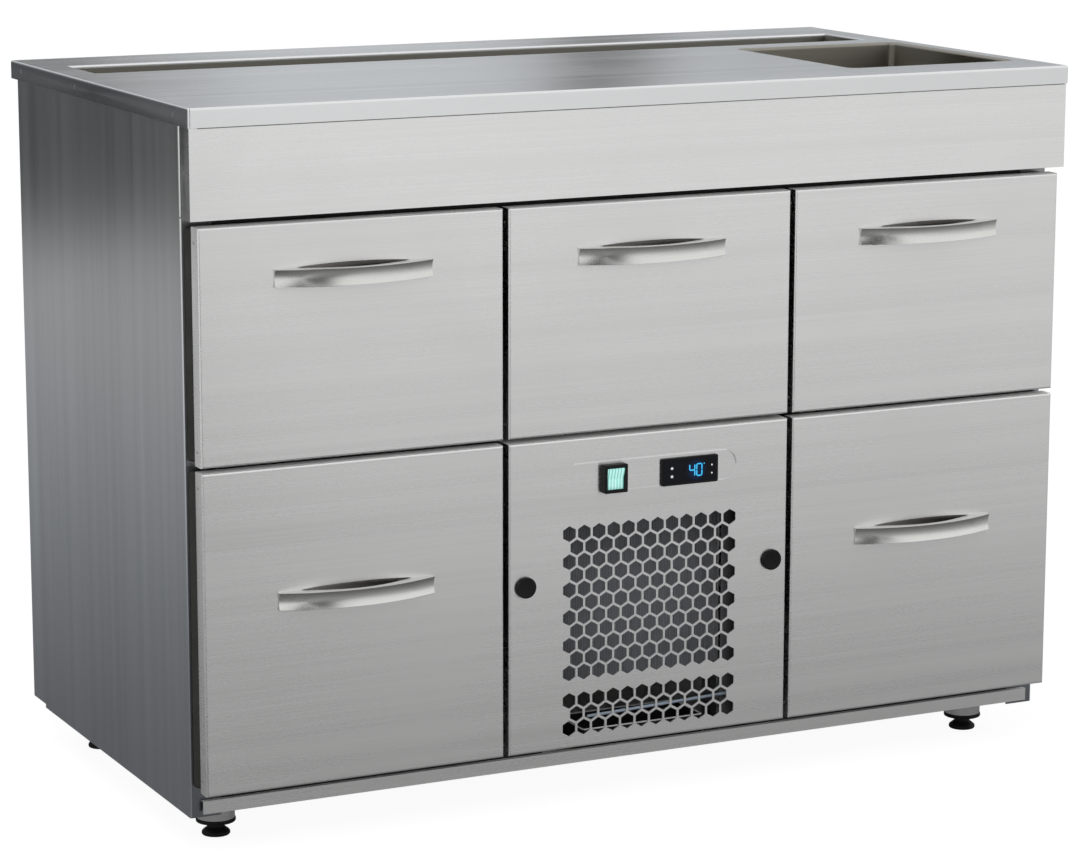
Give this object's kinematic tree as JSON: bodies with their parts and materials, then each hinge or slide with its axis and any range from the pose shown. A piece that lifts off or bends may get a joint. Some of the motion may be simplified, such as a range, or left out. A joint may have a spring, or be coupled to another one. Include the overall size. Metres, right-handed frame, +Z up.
{
  "type": "refrigerated bar counter",
  "caption": "Free-standing stainless refrigerated bar counter with bow-handled drawers, a grilled service panel, and a rear trough and a basin in the worktop.",
  "frame": {"origin": "on the floor, under the middle of the whole object with its drawers shut", "axes": "+X to the right along the counter's length, +Y towards its back, +Z up"},
  "size_m": [1.2, 0.672, 0.9],
  "materials": {
    "brushed_skin": "fine brushed stainless sheet",
    "worktop_steel": "brushed stainless top, brighter on the flat",
    "handle_steel": "satin stainless strip",
    "drawer_steel": "plain stainless sheet",
    "runner_zinc": "bright rolled steel runners",
    "seal_rubber": "soft black door seal",
    "insulated_liner": "insulated slab with a pale lining",
    "black_plastic": "moulded black plastic",
    "rocker_green": "pale green translucent rocker, lit from inside",
    "button_white": "small white push buttons",
    "coil_fins": "close aluminium fins",
    "compressor_black": "black painted steel can",
    "copper_pipe": "drawn copper pipe",
    "galvanised_sheet": "zinc coated steel sheet",
    "socket_grey": "grey moulded foot collars"
  },
  "bodies": {
    "cabinet": {"worktop": "worktop_steel", "rear_trough": "worktop_steel", "basin": "worktop_steel", "fascia_panel": "brushed_skin", "side_panel_left": "brushed_skin", "side_panel_right": "brushed_skin", "back_panel": "galvanised_sheet", "cable_gland": "black_plastic", "base_frame": "brushed_skin", "cabinet_insulation": "insulated_liner", "partition_walls": "insulated_liner", "chamber_floors": "insulated_liner", "cross_rails": "insulated_liner", "cabinet_runners": "runner_zinc", "foot_sockets": "socket_grey", "condenser": "coil_fins", "fan_shroud": "galvanised_sheet", "compressor": "compressor_black", "condensate_tray": "galvanised_sheet", "evaporator": "coil_fins", "refrigerant_pipes": "copper_pipe"},
    "service_cover": {"service_panel": "brushed_skin", "switch_bezel": "black_plastic", "thermostat": "black_plastic"},
    "rocker": {"switch_rocker": "rocker_green"},
    "condenser_rotor": {"condenser_fan": "black_plastic"},
    "evaporator_rotor": {"evaporator_fan": "black_plastic"},
    "screw_left": {"thumb_screw_left": "black_plastic"},
    "screw_right": {"thumb_screw_right": "black_plastic"},
    "button_upper": {"thermostat_button_upper": "button_white"},
    "button_lower": {"thermostat_button_lower": "button_white"},
    "levelling_foot_front_left": {"foot_front_left": "black_plastic"},
    "levelling_foot_front_right": {"foot_front_right": "black_plastic"},
    "levelling_foot_rear_left": {"foot_rear_left": "black_plastic"},
    "levelling_foot_rear_right": {"foot_rear_right": "black_plastic"},
    "drawer_upper_left": {"drawer_front_upper_left": "brushed_skin", "handle_upper_left": "handle_steel", "gasket_upper_left": "seal_rubber", "drawer_box_upper_left": "drawer_steel"},
    "mid_slide_upper_left": {"mid_runners_upper_left": "runner_zinc"},
    "drawer_upper_middle": {"drawer_front_upper_middle": "brushed_skin", "handle_upper_middle": "handle_steel", "gasket_upper_middle": "seal_rubber", "drawer_box_upper_middle": "drawer_steel"},
    "mid_slide_upper_middle": {"mid_runners_upper_middle": "runner_zinc"},
    "drawer_upper_right": {"drawer_front_upper_right": "brushed_skin", "handle_upper_right": "handle_steel", "gasket_upper_right": "seal_rubber", "drawer_box_upper_right": "drawer_steel"},
    "mid_slide_upper_right": {"mid_runners_upper_right": "runner_zinc"},
    "drawer_lower_left": {"drawer_front_lower_left": "brushed_skin", "handle_lower_left": "handle_steel", "gasket_lower_left": "seal_rubber", "drawer_box_lower_left": "drawer_steel"},
    "mid_slide_lower_left": {"mid_runners_lower_left": "runner_zinc"},
    "drawer_lower_right": {"drawer_front_lower_right": "brushed_skin", "handle_lower_right": "handle_steel", "gasket_lower_right": "seal_rubber", "drawer_box_lower_right": "drawer_steel"},
    "mid_slide_lower_right": {"mid_runners_lower_right": "runner_zinc"}
  },
  "joints": [
    {"name": "service_panel_pull", "type": "slide", "parent": "cabinet", "child": "service_cover", "axis": [0, -1, 0], "range_m": [0, 0.06]},
    {"name": "switch_rock", "type": "hinge", "parent": "service_cover", "child": "rocker", "pos_m": [-0.0523, -0.314, 0.4204], "axis": [1, 0, 0], "range_deg": [-20, 0]},
    {"name": "condenser_fan_spin", "type": "hinge", "parent": "cabinet", "child": "condenser_rotor", "pos_m": [0, -0.207, 0.26701], "axis": [0, 1, 0], "continuous": true},
    {"name": "evaporator_fan_spin", "type": "hinge", "parent": "cabinet", "child": "evaporator_rotor", "pos_m": [0, 0.2195, 0.6207], "axis": [0, 1, 0], "continuous": true},
    {"name": "thumb_screw_left_turn", "type": "hinge", "parent": "service_cover", "child": "screw_left", "pos_m": [-0.172, -0.311, 0.2943], "axis": [0, 1, 0], "continuous": true},
    {"name": "thumb_screw_right_turn", "type": "hinge", "parent": "service_cover", "child": "screw_right", "pos_m": [0.172, -0.311, 0.2943], "axis": [0, 1, 0], "continuous": true},
    {"name": "thermostat_button_upper_press", "type": "slide", "parent": "service_cover", "child": "button_upper", "axis": [0, 1, 0], "range_m": [0, 0.0005], "stiffness_N_per_m": 400},
    {"name": "thermostat_button_lower_press", "type": "slide", "parent": "service_cover", "child": "button_lower", "axis": [0, 1, 0], "range_m": [0, 0.0005], "stiffness_N_per_m": 400},
    {"name": "foot_front_left_turn", "type": "hinge", "parent": "cabinet", "child": "levelling_foot_front_left", "pos_m": [-0.537, -0.199, 0], "axis": [0, 0, 1], "continuous": true},
    {"name": "foot_front_right_turn", "type": "hinge", "parent": "cabinet", "child": "levelling_foot_front_right", "pos_m": [0.537, -0.199, 0], "axis": [0, 0, 1], "continuous": true},
    {"name": "foot_rear_left_turn", "type": "hinge", "parent": "cabinet", "child": "levelling_foot_rear_left", "pos_m": [-0.537, 0.221, 0], "axis": [0, 0, 1], "continuous": true},
    {"name": "foot_rear_right_turn", "type": "hinge", "parent": "cabinet", "child": "levelling_foot_rear_right", "pos_m": [0.537, 0.221, 0], "axis": [0, 0, 1], "continuous": true},
    {"name": "drawer_upper_left_slide", "type": "slide", "parent": "cabinet", "child": "drawer_upper_left", "axis": [0, -1, 0], "range_m": [0, 0.4]},
    {"name": "mid_runner_upper_left_slide", "type": "slide", "parent": "cabinet", "child": "mid_slide_upper_left", "axis": [0, -1, 0], "range_m": [0, 0.2]},
    {"name": "drawer_upper_middle_slide", "type": "slide", "parent": "cabinet", "child": "drawer_upper_middle", "axis": [0, -1, 0], "range_m": [0, 0.4]},
    {"name": "mid_runner_upper_middle_slide", "type": "slide", "parent": "cabinet", "child": "mid_slide_upper_middle", "axis": [0, -1, 0], "range_m": [0, 0.2]},
    {"name": "drawer_upper_right_slide", "type": "slide", "parent": "cabinet", "child": "drawer_upper_right", "axis": [0, -1, 0], "range_m": [0, 0.4]},
    {"name": "mid_runner_upper_right_slide", "type": "slide", "parent": "cabinet", "child": "mid_slide_upper_right", "axis": [0, -1, 0], "range_m": [0, 0.2]},
    {"name": "drawer_lower_left_slide", "type": "slide", "parent": "cabinet", "child": "drawer_lower_left", "axis": [0, -1, 0], "range_m": [0, 0.4]},
    {"name": "mid_runner_lower_left_slide", "type": "slide", "parent": "cabinet", "child": "mid_slide_lower_left", "axis": [0, -1, 0], "range_m": [0, 0.2]},
    {"name": "drawer_lower_right_slide", "type": "slide", "parent": "cabinet", "child": "drawer_lower_right", "axis": [0, -1, 0], "range_m": [0, 0.4]},
    {"name": "mid_runner_lower_right_slide", "type": "slide", "parent": "cabinet", "child": "mid_slide_lower_right", "axis": [0, -1, 0], "range_m": [0, 0.2]}
  ],
  "couplings": [
    {"joint": "mid_runner_upper_left_slide", "follows": "drawer_upper_left_slide", "ratio": 0.5},
    {"joint": "mid_runner_upper_middle_slide", "follows": "drawer_upper_middle_slide", "ratio": 0.5},
    {"joint": "mid_runner_upper_right_slide", "follows": "drawer_upper_right_slide", "ratio": 0.5},
    {"joint": "mid_runner_lower_left_slide", "follows": "drawer_lower_left_slide", "ratio": 0.5},
    {"joint": "mid_runner_lower_right_slide", "follows": "drawer_lower_right_slide", "ratio": 0.5}
  ]
}
